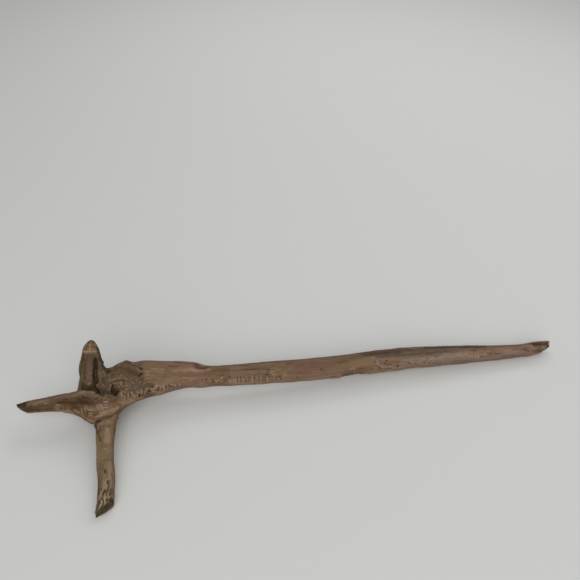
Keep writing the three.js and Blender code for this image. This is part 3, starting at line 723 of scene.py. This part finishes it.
            (0.85, 0.8, -0.4, [(103.5, 492), (103, 497)], [(110.5, 490), (110, 495)],
             [(101.5, 487.5), (101.2, 490.5)], [(108.5, 486), (108, 490)]),
            (0.8, 1.1, 0, [(113.4, 466), (114.4, 476), (114.5, 486), (113.8, 495)]),
            (0.9, 1.4, -0.4, [(138.5, 366.8), (141.8, 368.6)], [(139, 375.6), (141.8, 373.4)]),
            (0.9, 1.5, 0, [(97.8, 348.5), (99.6, 353.5), (101.2, 359.5), (102.6, 365.5)]),
            # painted shadow in the crease between the upper stub and the burl
            (0.9, 1.3, 0, [(103.3, 367), (105.8, 369), (109.3, 368.6)]),
            (0.8, 1.6, 0, [(80.3, 360), (79.8, 366), (79.7, 373)]),
        ],
    },
    "washes": {
        "mauve": [
            (0.5, 1.6, 0, [(484, 347.4), (505, 346.9)]),
            (0.4, 2.2, 0, [(480, 348.5), (492, 348.5)]),
        ],
        "dark": [
            (0.26, 6, 0, [(92, 405), (104, 405), (116, 402)], [(105, 424), (107, 436)]),
            (0.29, 4, 0, [(85, 413), (95, 416), (105, 414)], [(88, 358), (88, 380)]),
            (0.27, 5, 0, [(126, 396), (136, 396), (146, 393)], [(198, 382), (226, 380)]),
            (0.14, 5, 0, [(230, 380), (262, 379)], [(348, 371), (370, 370)]),
        ],
        "pale": [
            (0.14, 4, 0, [(109, 447), (110, 470)], [(452, 357), (474, 355)]),
        ],
    },
    "outline": {
        "shape": [
            (0, 3, -2.8, [(121, 412.5), (125, 409.5)]),
            (0, 3, -1, [(128, 407.5)]),
            (0, 4, 1.6, [(67, 410.5), (76, 412.8)]),
            (0, 3, 1.2, [(106, 369)]),
            (0, 3, 2, [(95.8, 425.8)]),
            (0, 3, 1.8, [(90, 421)]),
            (0, 3, -1.6, [(77.8, 388.6)]),
            (0, 4, -1.7, [(198, 364.8), (203, 366)]),
            (0, 5, -1.4, [(364, 353), (380, 351.6), (396, 350)]),
            (0, 4, 1.5, [(527, 355.5), (536, 353.3)]),
            (0, 5, -1.2, [(148, 396.5), (152, 395.5)]),
            (0, 7, 1.2, [(232, 383.5), (246, 383.3), (262, 382.7)]),
            (0, 6, 1, [(197, 386), (204, 386)]),
            (0, 5.5, -2.8, [(347, 376.5), (358, 375.5)]),
            (0, 5, 1.3, [(372, 373.5), (384, 371.8), (398, 370.4)]),
            (0, 7, 1.4, [(97.5, 440), (98, 452), (98.2, 466)]),
            (0, 3, 0.8, [(105, 500), (109, 503)]),
            (0, 3, 1, [(66, 411.5), (74, 413.5), (83, 417.5)], [(133, 403)]),
            (0, 2.5, 1.6, [(102, 363)], [(117.5, 418.5)]),
            (0, 6, 1, [(160, 394)], [(312, 378.5), (338, 376.8)]),
            (0, 3, 2.4, [(540, 350.5), (547, 346)]),
            (0, 3, -1.6, [(79.2, 380), (78.6, 386.5)]),
        ],
        "black": [
            (0.9, 1.2, 0, [(531, 343.9), (538, 343), (546.5, 342.8)]),
            (0.8, 1.2, 0, [(546.8, 343.5), (546.5, 347)]),
        ],
        "red": [
            (0.7, 1.6, 0, [(536, 346.5), (543, 345.5)]),
        ],
        "mauve": [
            (0.8, 3.4, 0,
             [(352, 358.5), (372, 353.5), (392, 351.5), (412, 350.2), (440, 348.6), (470, 347.6),
              (484, 347)]),
            (0.9, 2.8, 0, [(376, 357), (400, 354.8), (430, 352.3), (452, 350.8)]),
        ],
        "dark": [
            (0.45, 1.8, 0, [(400, 350.5), (440, 347.4), (480, 346.5)]),
        ],
        "ash": [
            (0.8, 3.2, 0, [(386, 368.5), (410, 365.5), (440, 361.5), (470, 359), (500, 357)]),
        ],
        "pink": [
            (0.35, 2.6, 0, [(378, 367), (396, 366), (420, 364)]),
        ],
        "knot": [
            (0.35, 9, 0, [(225, 374), (290, 370), (345, 366)]),
        ],
    },
    "crest": {
        "ash": [
            # partly the crest's light-brown wood, partly a painted highlight along its top
            (0.6, 1.3, 0.3, [(75, 394), (82, 392), (89, 391.6), (94, 392.6)]),
        ],
        "knot": [
            (0.9, 4.5, 0, [(78, 399), (90, 400.5), (104, 398), (116, 397)]),
        ],
        "red": [
            (0.7, 1.7, 0, [(90, 396.3), (97, 397), (104, 397.6)]),
        ],
        "dark": [
            (0.85, 1.3, -0.4, [(82, 396.6), (86, 397.4), (90, 398.3)]),
            (0.95, 3.2, -0.3, [(80, 402), (85, 402.5), (88, 403.5)]),
        ],
        "amber": [
            (0.9, 2.6, 0, [(76, 404.5), (82, 405.5), (90, 402)]),
        ],
        "mauve": [
            (0.7, 2.2, 0, [(103, 400), (112, 400.5)]),
        ],
    },
    "knotHole": {
        "black": [
            # the knot hole's grooves: dark wood with painted shade in them
            (0.9, 1.6, -0.3, [(111.6, 383), (112, 388), (112.3, 393.5)]),
            (0.75, 1.3, 0, [(114, 394.8), (116.5, 392.5), (118, 389.5)]),
            (0.6, 1, -0.25, [(113.5, 381.8), (117.5, 381.6), (120.5, 380.2), (124, 380.4)]),
        ],
        "amber": [
            (0.9, 1.8, 0.6, [(114.5, 385), (115, 389.5), (114.5, 392)]),
        ],
        "olive": [
            # partly olive wood, partly a painted highlight on the ridge inside the knot hole
            (0.7, 0.9, 0.5, [(116, 384), (117.3, 387), (117, 390)]),
        ],
        "shape": [
            (0, 3, 2.8, [(114.5, 386), (115, 391)]),
        ],
        "dark": [
            # dark wood with painted shade in the knot hole's outer grooves
            (0.85, 1.1, -0.4, [(119.6, 384), (120.3, 387.5), (119, 391), (117.5, 394)]),
            (0.8, 1, -0.4, [(124, 382), (124.6, 386), (123.3, 390.5)]),
        ],
        "ash": [
            # pale wood and a painted highlight on the knot hole's upper rim
            (0.45, 0.9, 0.2, [(111.5, 382.6), (114, 380.9), (117.5, 380), (120.3, 380.3)]),
            (0.6, 0.8, 0.3, [(121.8, 382), (122.8, 386), (122, 390)]),
        ],
        "mauve": [
            (0.6, 2.2, 0.3, [(108.3, 384), (109, 389), (109.3, 392.5)]),
        ],
    },
}


def selectOnly(piece):
    bpy.ops.object.select_all(action="DESELECT")
    piece.select_set(True)
    bpy.context.view_layer.objects.active = piece


def applyModifier(piece, kind, **settings):
    modifier = piece.modifiers.new(kind.lower(), kind)
    for key, value in settings.items():
        setattr(modifier, key, value)
    selectOnly(piece)
    bpy.ops.object.modifier_apply(modifier=modifier.name)


def unit(vectors):
    vectors = np.asarray(vectors, float)
    return vectors / np.linalg.norm(vectors, axis=-1, keepdims=True)


def smoothStep(low, high, value):
    t = np.clip((value - low) / (high - low), 0, 1)
    return t * t * (3 - 2 * t)


def cloud(points, scale, octaves, seed):  # fractal noise
    spots = points * np.asarray(scale) + seed
    return np.array([noise.fractal(Vector(spot), octaveFade, octaveStep, octaves) for spot in spots])


def drift(points, scale, amount, seed):  # small wandering offsets, so that no stroke is ruled
    spots = points * scale + seed
    return points + amount * np.array([noise.noise_vector(Vector(spot)) for spot in spots])


def luck(numbers, seed):  # a steady random share for each whole number
    return np.modf(np.abs(np.sin(numbers * 12.9898 + seed) * 43758.5453))[0]


def fade(points, middle, reach):  # 1 at the middle, and nearly nothing past its reach
    return np.exp(-((points - np.array(middle)) ** 2).sum(1) / reach**2)


def splinePath(stations, step=1.5):
    knots = np.array(stations, float)
    knots = np.vstack([2 * knots[0] - knots[1], knots, 2 * knots[-1] - knots[-2]])
    runs = []
    for a, b, c, d in zip(knots, knots[1:], knots[2:], knots[3:]):
        count = max(2, int(np.linalg.norm((c - b)[:3]) / step))
        t = np.linspace(0, 1, count, endpoint=False)[:, None]
        square = (2 * a - 5 * b + 4 * c - d) * t**2
        cube = (3 * b - a - 3 * c + d) * t**3
        runs.append(0.5 * (2 * b + (c - a) * t + square + cube))
    return np.vstack(runs + [knots[-2:-1]])


class Limb:  # turns places on a limb into places on a straight stick: along it, across it and up from it
    def __init__(self, stations, upHint):
        path = splinePath(stations)
        self.middle = path[:, :3]
        self.radius = path[:, 3]
        self.tangent = unit(np.gradient(self.middle, axis=0))
        self.across = unit(np.cross(self.tangent, upHint))
        self.upright = np.cross(self.across, self.tangent)
        steps = np.linalg.norm(np.diff(self.middle, axis=0), axis=1)
        self.along = np.concatenate([[0], np.cumsum(steps)])
        self.tree = KDTree(len(path))
        for i, spot in enumerate(self.middle):
            self.tree.insert(spot, i)
        self.tree.balance()

    def straighten(self, points):
        found = [self.tree.find(point) for point in points]
        i = np.array([index for _, index, _ in found])
        offset = points - self.middle[i]
        along = self.along[i] + (offset * self.tangent[i]).sum(1)
        across = (offset * self.across[i]).sum(1)
        upward = (offset * self.upright[i]).sum(1)
        standOff = np.array([distance for _, _, distance in found]) - self.radius[i]
        return np.stack([along, across, upward], 1), standOff, self.radius[i], self.tangent[i]


# How the fibres lie at each point: along the stem, along the stubs, and how much of each.
class Grain:
    def __init__(self, points):
        straight, standOff, girth, tangent = {}, {}, {}, {}
        for name, stations in piths.items():
            limb = Limb(stations, (0, 1, 0) if name in standing else (0, 0, 1))
            straight[name], standOff[name], girth[name], tangent[name] = limb.straighten(points)
        weights = {name: np.exp(-np.clip(standOff[name], -12, 60) / branch["limbBlend"]) for name in piths}
        stubs = [name for name in piths if name != "stem"]
        stubWeight = sum(weights[name] for name in stubs)
        self.stubShare = stubWeight / (stubWeight + weights["stem"])
        self.alongStub = sum(straight[name] * (weights[name] / stubWeight)[:, None] for name in stubs)
        self.alongStem = straight["stem"]
        self.tangents = unit(sum(tangent[name] * weights[name][:, None] for name in piths) + 1e-9)
        self.girth = girth["stem"]
        self.angle = np.arctan2(self.alongStem[:, 2], self.alongStem[:, 1])

    def pattern(self, scale, octaves, seed):
        stem = cloud(self.alongStem, scale, octaves, seed)
        stub = cloud(self.alongStub, scale, octaves, seed + stubSeed)
        return stem * (1 - self.stubShare) + stub * self.stubShare


# Gives the place on the wood behind a pixel of the photo. A pixel just off the wood goes to the edge by it.
def pixelFinder(faces, points):
    tree = BVHTree.FromPolygons(points.tolist(), faces)
    eye = Vector(photo["eye"]) * 1000
    tilt = math.radians(photo["tiltDown"])
    step = photo["sensor"] / photo["lens"] / photo["side"]

    def cast(x, y):
        across = (x - photo["side"] / 2) * step
        upward = (photo["side"] / 2 - y) * step
        ahead = (math.cos(tilt) + upward * math.sin(tilt), upward * math.cos(tilt) - math.sin(tilt))
        return tree.ray_cast(eye, Vector((across, *ahead)))[0]

    def find(x, y):
        spot = cast(x, y)
        ring = 0.0
        while spot is None and ring < edgeSearch["furthest"]:
            ring += edgeSearch["step"]
            turns = np.linspace(0, 2 * math.pi, edgeSearch["turns"], endpoint=False)
            around = [cast(x + ring * math.cos(turn), y + ring * math.sin(turn)) for turn in turns]
            around = [place for place in around if place is not None]
            if around:
                spot = sum(around, Vector()) / len(around)
        return spot

    return find


# The strokes placed on the photo, with their paths on the wood.
def photoStrokes(faces, points):
    find = pixelFinder(faces, points)
    for part in strokes.values():
        for tone, kinds in part.items():
            for strength, width, height, *paths in kinds:
                for pixels in paths:
                    path = [spot for spot in (find(*pixel) for pixel in pixels) if spot is not None]
                    if path:
                        yield tone, strength, width, height, path


# The kinds of stroke on the sides that the photo doesn't show: the tone, how often, the strength, the
# width, the height and the length, and how much it crosses the grain.
hiddenKinds = [
    ("pale", 0.26, 0.7, 0.8, 0.3, 4, 0.9),
    ("dark", 0.26, 0.75, 0.8, -0.4, 4, 0.8),
    ("black", 0.08, 0.9, 1.1, -0.8, 1.5, 0.5),
    ("olive", 0.10, 0.6, 2.8, 0.0, 22, 0.0),
    ("mauve", 0.08, 0.7, 2.6, 0.0, 30, 0.0),
    ("red", 0.07, 0.6, 2.4, 0.0, 20, 0.0),
    ("amber", 0.06, 0.6, 2.6, 0.0, 22, 0.0),
    ("pale", 0.09, 0.6, 2.2, 0.1, 16, 0.0),
]
towardsPhoto = (0, -0.77, 0.64)


def hiddenStrokes(points, normals, tangents):
    pick = np.random.RandomState(branch["seed"])
    facing = normals @ unit(towardsPhoto)
    choices = np.nonzero((facing < branch["hiddenFacing"]) & (points[:, 2] > 1))[0]
    chance = np.array([kind[1] for kind in hiddenKinds])
    for i in range(branch["hiddenMarks"]):
        kind = hiddenKinds[pick.choice(len(hiddenKinds), p=chance / chance.sum())]
        tone, _, strength, width, height, length, crossing = kind
        spot = pick.choice(choices)
        over = np.cross(normals[spot], tangents[spot])
        lean = unit(over * crossing + tangents[spot] * (1 - crossing) + 0.35 * pick.uniform(-1, 1, 3))
        half = lean * length * pick.uniform(0.3, 0.7)
        path = [points[spot] - half, points[spot] + half]
        yield tone, strength * pick.uniform(0.6, 1.1), width, height, path


# How strongly a stroke along a path lies on each point near it.
def strokeMark(points, path, width):
    path = np.array(path, float)
    low = path.min(0) - 3 * width
    high = path.max(0) + 3 * width
    near = np.nonzero(((points > low) & (points < high)).all(1))[0]
    best = np.full(len(near), 1e9)
    for a, b in zip(path, path[1:]):
        t = np.clip(((points[near] - a) @ (b - a)) / ((b - a) @ (b - a)), 0, 1)
        best = np.minimum(best, np.linalg.norm(points[near] - a - t[:, None] * (b - a), axis=1))
    return near, np.exp(-((best / width) ** 2))


# One row of tooth marks: rounded grooves with sharp ridges between them, each of its own depth and length.
def toothRow(row, seed, x, angle, radius, wobble):
    turn = np.angle(np.exp(1j * (angle - math.radians(row["angle"]))))
    arc = turn * radius
    phase = (x - row["start"] - row["slant"] * arc) / row["gap"] + teeth["sway"] * wobble
    number = np.floor(phase)
    length = teeth["shortest"] + teeth["longerBy"] * luck(number, seed + 3)
    reach = radius * math.radians(row["spread"]) * length
    middle = (luck(number, seed + 7) - 0.5) * teeth["shift"] * reach
    body = np.exp(-(((arc - middle) / reach) ** 4))
    fadeOut = teeth["rowEnd"]
    begun = smoothStep(row["start"] - fadeOut, row["start"] + fadeOut, x)
    ended = smoothStep(row["end"] - fadeOut, row["end"] + fadeOut, x)
    body *= begun * (1 - ended)
    depth = teeth["shallowest"] + teeth["deeperBy"] * luck(number, seed)
    groove = np.abs(np.sin(math.pi * phase)) * depth * body
    return groove, body


class Carving:  # the skin's points, how far each is raised, and what is painted on it
    def __init__(self, mesh):
        self.mesh = mesh
        flat = np.empty(len(mesh.vertices) * 3, np.float32)
        mesh.vertices.foreach_get("co", flat)
        self.points = flat.reshape(-1, 3).astype(float) * 1000
        mesh.vertex_normals.foreach_get("vector", flat)
        self.normals = flat.reshape(-1, 3).astype(float)
        self.pulled = self.points.copy()
        for middle, reach, move in pulls:
            self.pulled += fade(self.points, middle, reach)[:, None] * np.array(move)
        self.grain = Grain(self.points)
        self.paint = {"stubShare": self.grain.stubShare}
        print("grain laid out")

    def blank(self):
        return np.zeros(len(self.points))

    def raiseLumps(self):
        broad = cloud(self.points, *patterns["broad"])
        grit = cloud(self.points, *patterns["grit"])
        self.wobble = cloud(self.points, *patterns["wobble"])
        self.rough = cloud(self.points, *patterns["rough"])
        ridge = self.grain.pattern(*patterns["ridge"])
        fine = self.grain.pattern(*patterns["fine"])
        offset = (self.points - np.array(branch["knotMiddle"])) / np.array(branch["knotReach"])
        knotty = np.exp(-(offset**2).sum(1))
        self.lumpy = branch["lumps"] * broad
        self.relief = self.lumpy + branch["ridges"] * ridge + branch["fineRidges"] * fine
        self.relief += branch["knotLumps"] * self.rough * np.clip(1.3 * knotty, 0, 1)
        self.relief += branch["knotGrit"] * grit * np.clip(1.6 * knotty, 0, 1)
        self.paint["knotty"] = knotty

    def cutToothRows(self):
        tooth = self.blank()
        chewed = self.blank()
        onStem = 1 - smoothStep(0.35, 0.75, self.grain.stubShare)
        ragged = onStem * smoothStep(*teeth["patchy"], self.wobble + 0.6 * self.rough + 0.1)
        for i, row in enumerate(toothRows):
            x = self.points[:, 0]
            groove, body = toothRow(row, 5.0 + 11 * i, x, self.grain.angle, self.grain.girth, self.wobble)
            self.relief -= row["depth"] * groove * ragged
            tooth = np.maximum(tooth, groove * ragged)
            chewed = np.maximum(chewed, body * ragged)
        self.paint.update(tooth=tooth, chewed=chewed)

    def layStrokes(self):
        stain = {tone: self.blank() for tone in tones}
        thin = drift(self.pulled, *wander["thin"])
        wide = drift(drift(self.pulled, *wander["wide"]), *wander["wideEdge"])
        faces = [list(face.vertices) for face in self.mesh.polygons]
        laid = list(photoStrokes(faces, self.pulled))
        laid += hiddenStrokes(self.pulled, self.normals, self.grain.tangents)
        for tone, strength, width, height, path in laid:
            if len(path) == 1:
                path = [path[0], np.array(path[0]) + 0.01]
            isWide = width >= branch["wideStroke"]
            near, mark = strokeMark(wide if isWide else thin, path, width)
            self.relief[near] += height * mark
            worn = mark * np.clip(1 + 0.5 * self.rough[near], 0.5, 1.4) if isWide else mark
            if tone in stain:
                layer = strength * smoothStep(*branch["strokeEdge"], worn)
                stain[tone][near] = np.maximum(stain[tone][near], layer)
        self.paint.update(stain)

    def gougeFaces(self):
        cut = self.blank()
        gouge = self.blank()
        for i, (name, face) in enumerate(cutFaces.items()):
            normal = unit(face["facing"])
            offset = self.points - np.array(face["through"])
            onFace = 1 - smoothStep(*branch["cutDepth"], np.abs(offset @ normal))
            onFace *= smoothStep(0.5, 0.8, self.normals @ normal)
            onFace *= np.linalg.norm(offset, axis=1) < branch["cutReach"]
            side = unit(np.cross(normal, face["run"]))
            phase = (offset @ side) / face["gap"] + gouges["sway"] * self.wobble + gouges["offset"] * i
            depth = gouges["shallowest"] + gouges["deeperBy"] * luck(np.floor(phase), gouges["seed"] + i)
            groove = np.abs(np.sin(math.pi * phase)) * depth
            self.relief -= face["depth"] * groove * onFace
            if name != bareCut:
                cut = np.maximum(cut, onFace)
            gouge = np.maximum(gouge, groove * onFace)
        self.paint.update(cut=cut, gouge=gouge)
        print("marks worked in")

    def writeMesh(self):
        self.relief *= smoothStep(0.05, branch["footFade"], self.points[:, 2])
        detail = self.relief - self.lumpy
        # how deep each point lies in a hollow; the finish darkens it there with dirt and painted shade
        self.paint["hollow"] = np.clip(-detail * 0.9, 0, 1)
        self.paint["proud"] = np.clip(detail * 0.9, 0, 1)
        places = self.pulled + self.normals * self.relief[:, None]
        places[:, 2] = np.maximum(places[:, 2], 0)
        self.mesh.vertices.foreach_set("co", (places / 1000).astype(np.float32).ravel())
        for name, values in self.paint.items():
            layer = self.mesh.attributes.new(name, "FLOAT", "POINT")
            layer.data.foreach_set("value", values.astype(np.float32))
        for name, values in (("stemGrain", self.grain.alongStem), ("stubGrain", self.grain.alongStub)):
            layer = self.mesh.attributes.new(name, "FLOAT_VECTOR", "POINT")
            layer.data.foreach_set("vector", values.astype(np.float32).ravel())
        self.mesh.update()


# How sharp the wood stays at each point: the gnawed faces and the feet are hardly smoothed.
def keptSharp(points):
    keep = 1 - smoothStep(0.2, 2.0, points[:, 2])
    for face in cutFaces.values():
        offset = points - np.array(face["through"])
        near = np.linalg.norm(offset, axis=1) < branch["sharpReach"]
        away = np.abs(offset @ unit(face["facing"]))
        keep = np.maximum(keep, near * (1 - smoothStep(1.0, 3.5, away)))
    return keep


def makeSkin():
    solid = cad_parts["driftwood"]
    skin = bpy.data.objects.new("weathered_branch", solid.data.copy())
    scene.collection.objects.link(skin)
    skin.data.materials.clear()
    selectOnly(skin)
    bpy.ops.object.mode_set(mode="EDIT")
    bpy.ops.mesh.select_all(action="SELECT")
    bpy.ops.mesh.remove_doubles(threshold=branch["weld"])
    bpy.ops.object.mode_set(mode="OBJECT")
    applyModifier(skin, "REMESH", mode="VOXEL", voxel_size=branch["voxel"] / 1000)
    places = np.empty(len(skin.data.vertices) * 3, np.float32)
    skin.data.vertices.foreach_get("co", places)
    soft = 1 - branch["sharpShare"] * keptSharp(places.reshape(-1, 3) * 1000)
    group = skin.vertex_groups.new(name="soft")
    levels = branch["sharpLevels"]
    for level in range(levels):
        weight = (level + 1) / levels
        members = np.nonzero((soft > weight - 1 / levels) & (soft <= weight))[0]
        group.add(members.tolist(), weight, "REPLACE")
    applyModifier(skin, "SMOOTH", factor=0.5, iterations=branch["facetPasses"], vertex_group="soft")
    skin.vertex_groups.clear()
    print("skin made:", len(skin.data.polygons), "faces")
    return skin


def carveSkin(skin):
    carving = Carving(skin.data)
    carving.raiseLumps()
    carving.cutToothRows()
    carving.layStrokes()
    carving.gougeFaces()
    carving.writeMesh()
    selectOnly(skin)
    bpy.ops.object.shade_smooth()


woodFinish = {
    "base": "806451",
    "light": "8e7360",
    "stub": "7f6b50",
    "knot": "564735",
    "mauve": "5e534d",
    "olive": "74653f",
    "amber": "584125",
    "ash": "85766c",
    "red": "745045",
    "pink": "87655b",
    "pale": "a1896f",
    "cream": "a89276",
    "dark": "46311d",
    "black": "2b2315",
    "toothPale": "9a815f",
    "cutDark": "4d4238",
    # how much of each colour shows where its pattern or its mark is strongest
    "lightStreaks": 0.6,
    "amberStreaks": 0.55,
    "oliveBlotches": 0.35,
    "paleThreads": 0.20,
    "darkThreads": 0.34,
    "rubbedPale": 0.22,
    "toothRidges": 0.55,
    "toothDirt": 0.30,
    "hollowDirtAndShade": 0.5,
    "darkGrit": 0.40,
    "paleGrit": 0.30,
    "cutStain": 0.45,
    "cutLines": 0.35,
    "darkSpecks": 0.28,
    "grainBump": 0.00022,
    "pittingBump": 0.00020,
    "roughness": 0.72,
    "gloss": 0.15,
}

# Painted marks are thinner where the grime's pattern is low: from what, to what, and the least share.
markWear = {
    "dark": (0.3, 0.6, 0.75),
    "pale": (0.25, 0.55, 0.6),
    "cream": (0.25, 0.55, 0.7),
    "black": (0.25, 0.6, 0.85),
}


def colour(code):
    channels = [int(code[i:i + 2], 16) / 255 for i in (0, 2, 4)]
    return tuple(c / 12.92 if c <= 0.04045 else ((c + 0.055) / 1.055) ** 2.4 for c in channels) + (1.0,)


class Wire:  # a shader socket that takes part in Python sums
    def __init__(self, finish, socket):
        self.finish = finish
        self.socket = socket

    def sum(self, operation, *values):
        return self.finish.add("ShaderNodeMath", {"operation": operation}, dict(enumerate(values)))

    def __add__(self, other):
        return self.sum("ADD", self, other)

    def __radd__(self, other):
        return self.sum("ADD", other, self)

    def __sub__(self, other):
        return self.sum("SUBTRACT", self, other)

    def __rsub__(self, other):
        return self.sum("SUBTRACT", other, self)

    def __mul__(self, other):
        return self.sum("MULTIPLY", self, other)

    def __rmul__(self, other):
        return self.sum("MULTIPLY", other, self)


class Finish:  # one material and its nodes
    def __init__(self, name):
        self.material = bpy.data.materials.new(name)
        self.material.use_nodes = True
        self.tree = self.material.node_tree
        self.tree.nodes.clear()

    def add(self, kind, settings, sockets, out=0):
        node = self.tree.nodes.new(kind)
        for key, value in settings.items():
            setattr(node, key, value)
        for key, value in sockets.items():
            if isinstance(value, Wire):
                self.tree.links.new(value.socket, node.inputs[key])
            else:
                node.inputs[key].default_value = value
        return Wire(self, node.outputs[out]) if node.outputs else None

    def painted(self, name):  # a number that the carving left on the mesh
        return self.add("ShaderNodeAttribute", {"attribute_name": name}, {}, "Fac")

    def noise(self, spot, detail=3.0, roughness=0.55, scale=1.0):
        sockets = {"Vector": spot, "Scale": scale, "Detail": detail, "Roughness": roughness}
        return self.add("ShaderNodeTexNoise", {}, sockets, "Fac")

    def grained(self, scale, **settings):  # the same pattern along the stem and along the stubs
        pair = []
        for name in ("stemGrain", "stubGrain"):
            spot = self.add("ShaderNodeAttribute", {"attribute_name": name}, {}, "Vector")
            spot = self.add("ShaderNodeVectorMath", {"operation": "MULTIPLY"}, {0: spot, 1: scale})
            pair.append(self.noise(spot, **settings))
        share = self.painted("stubShare")
        return pair[0] * (1 - share) + pair[1] * share

    def range(self, value, low, high, start=0.0, end=1.0):
        sockets = {"Value": value, "From Min": low, "From Max": high, "To Min": start, "To Max": end}
        return self.add("ShaderNodeMapRange", {"interpolation_type": "SMOOTHSTEP"}, sockets)

    def mix(self, factor, a, b):
        settings = {"data_type": "RGBA", "clamp_factor": True}
        return self.add("ShaderNodeMix", settings, {0: factor, 6: a, 7: b}, 2)


def makeWood():
    wood = Finish("weathered_wood")
    tone = {key: colour(value) for key, value in woodFinish.items() if isinstance(value, str)}
    here = wood.add("ShaderNodeTexCoord", {}, {}, "Object")
    streak = wood.grained((0.020, 0.36, 0.36), detail=4.0, roughness=0.62)
    thread = wood.grained((0.07, 1.5, 1.5), detail=3.0, roughness=0.6)
    blotch = wood.noise(here, scale=42.0, detail=3.0, roughness=0.6)
    grime = wood.noise(here, scale=150.0, detail=4.0, roughness=0.65)
    grit = wood.noise(here, scale=330.0, detail=3.0, roughness=0.7)
    speck = wood.noise(here, scale=560.0, detail=2.0, roughness=0.6)

    patchy = wood.range(grime + streak, 0.75, 1.1, 0.75, 1.0)
    ridge = wood.painted("chewed") * (1 - wood.range(wood.painted("tooth"), 0.05, 0.40))
    groove = wood.range(wood.painted("tooth"), 0.35, 0.95)
    knotty = wood.range(wood.painted("knotty"), 0.05, 0.55)
    uncut = wood.painted("cut") * (1 - wood.range(wood.painted("gouge"), 0.05, 0.35))

    # From the bare wood upwards: where each layer lies, and its tone.
    layers = [
        (wood.range(streak, 0.40, 0.66) * woodFinish["lightStreaks"], "light"),
        (wood.range(streak, 0.50, 0.33) * woodFinish["amberStreaks"], "amber"),
        (wood.range(blotch, 0.50, 0.64) * woodFinish["oliveBlotches"], "olive"),
        (wood.painted("stubShare") * wood.range(blotch, 0.35, 0.6, 0.4, 0.8), "stub"),
        (wood.painted("knot"), "knot"),
    ]
    layers += [(wood.painted(name) * patchy, name) for name in stains]
    layers += [
        (wood.range(thread, 0.50, 0.70) * woodFinish["paleThreads"], "pale"),
        (wood.range(thread, 0.50, 0.32) * woodFinish["darkThreads"], "dark"),
        (wood.painted("proud") * woodFinish["rubbedPale"], "pale"),
        # tooth marks: the ridges are rubbed pale and dirt lies in the grooves
        (ridge * wood.range(grime, 0.42, 0.62) * woodFinish["toothRidges"], "toothPale"),
        (groove * woodFinish["toothDirt"], "dark"),
        # dirt and painted shade in the hollows, and grit on the knot
        (wood.painted("hollow") * woodFinish["hollowDirtAndShade"], "dark"),
        (knotty * wood.range(grit, 0.50, 0.62) * woodFinish["darkGrit"], "dark"),
        (knotty * wood.range(grit, 0.46, 0.36) * woodFinish["paleGrit"], "pale"),
        # gnawed ends, paler between the gouges
        (wood.painted("cut") * woodFinish["cutStain"], "cutDark"),
        (uncut * wood.range(grime, 0.42, 0.6) * woodFinish["cutLines"], "cream"),
    ]
    for name, wear in markWear.items():
        layers.append((wood.painted(name) * wood.range(grime, *wear, 1.0), name))
    layers.append((wood.range(speck, 0.60, 0.70) * woodFinish["darkSpecks"], "dark"))
    shade = tone["base"]
    for cover, name in layers:
        shade = wood.mix(cover, shade, tone[name])

    furrows = {"Strength": 0.9, "Distance": woodFinish["grainBump"], "Height": thread * 0.6 + streak * 0.7}
    bump = wood.add("ShaderNodeBump", {}, furrows)
    pitting = {"Strength": 0.8, "Distance": woodFinish["pittingBump"], "Height": grime * 0.6 + speck * 0.5}
    bump = wood.add("ShaderNodeBump", {}, {**pitting, "Normal": bump})
    dullness = wood.range(streak, 0.3, 0.7, woodFinish["roughness"] - 0.08, woodFinish["roughness"] + 0.1)
    sockets = {"Base Color": shade, "Roughness": dullness, "Normal": bump}
    sockets["Specular IOR Level"] = woodFinish["gloss"]
    surface = wood.add("ShaderNodeBsdfPrincipled", {}, sockets)
    wood.add("ShaderNodeOutputMaterial", {}, {"Surface": surface})
    return wood.material


skin = makeSkin()
carveSkin(skin)
skin.data.materials.append(makeWood())
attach(skin, "root")
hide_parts("driftwood")
print("branch finished")

studio = {
    "floorColour": (0.74, 0.745, 0.725, 1.0),
    "floorSize": 9,
    "floorMiddle": (0.2, 1.0, 0),
    "skyColour": (1, 1, 1, 1),
    "skyStrength": 0.30,
    "lights": [
        {"place": (0.3, -2.1, 1.75), "size": 3.2, "power": 48.5, "aim": (0.2, 0.1, 0.0)},
        {"place": (1.1, 0.7, 1.3), "size": 1.4, "power": 3.8, "aim": (0.2, 0.1, 0.0)},
        {"place": (0.3, 1.6, 1.5), "size": 1.2, "power": 7, "aim": (0.3, 1.6, 0.0)},  # the floor behind
    ],
}


def makeFloor():
    bpy.ops.mesh.primitive_plane_add(size=studio["floorSize"], location=studio["floorMiddle"])
    floor = bpy.context.active_object
    floor.name = "floor"
    paper = Finish("pale_floor")
    sockets = {"Base Color": studio["floorColour"], "Roughness": 0.9, "Specular IOR Level": 0.1}
    surface = paper.add("ShaderNodeBsdfPrincipled", {}, sockets)
    paper.add("ShaderNodeOutputMaterial", {}, {"Surface": surface})
    floor.data.materials.append(paper.material)


def makeLights():
    for spot in studio["lights"]:
        bpy.ops.object.light_add(type="AREA", location=spot["place"])
        light = bpy.context.active_object
        light.data.shape = "DISK"
        light.data.size = spot["size"]
        light.data.energy = spot["power"]
        towards = Vector(spot["aim"]) - Vector(spot["place"])
        light.rotation_euler = towards.to_track_quat("-Z", "Y").to_euler()
    sky = bpy.data.worlds.new("soft_sky")
    scene.world = sky
    sky.use_nodes = True
    background = sky.node_tree.nodes["Background"]
    background.inputs["Color"].default_value = studio["skyColour"]
    background.inputs["Strength"].default_value = studio["skyStrength"]
    scene.view_settings.view_transform = "Standard"


def makeCamera():
    bpy.ops.object.camera_add(location=photo["eye"], rotation=(math.radians(90 - photo["tiltDown"]), 0, 0))
    camera = bpy.context.active_object
    camera.data.sensor_width = photo["sensor"]
    camera.data.lens = photo["lens"]
    camera.data.clip_start = 0.01
    scene.camera = camera


makeFloor()
makeLights()
makeCamera()
print("studio ready")
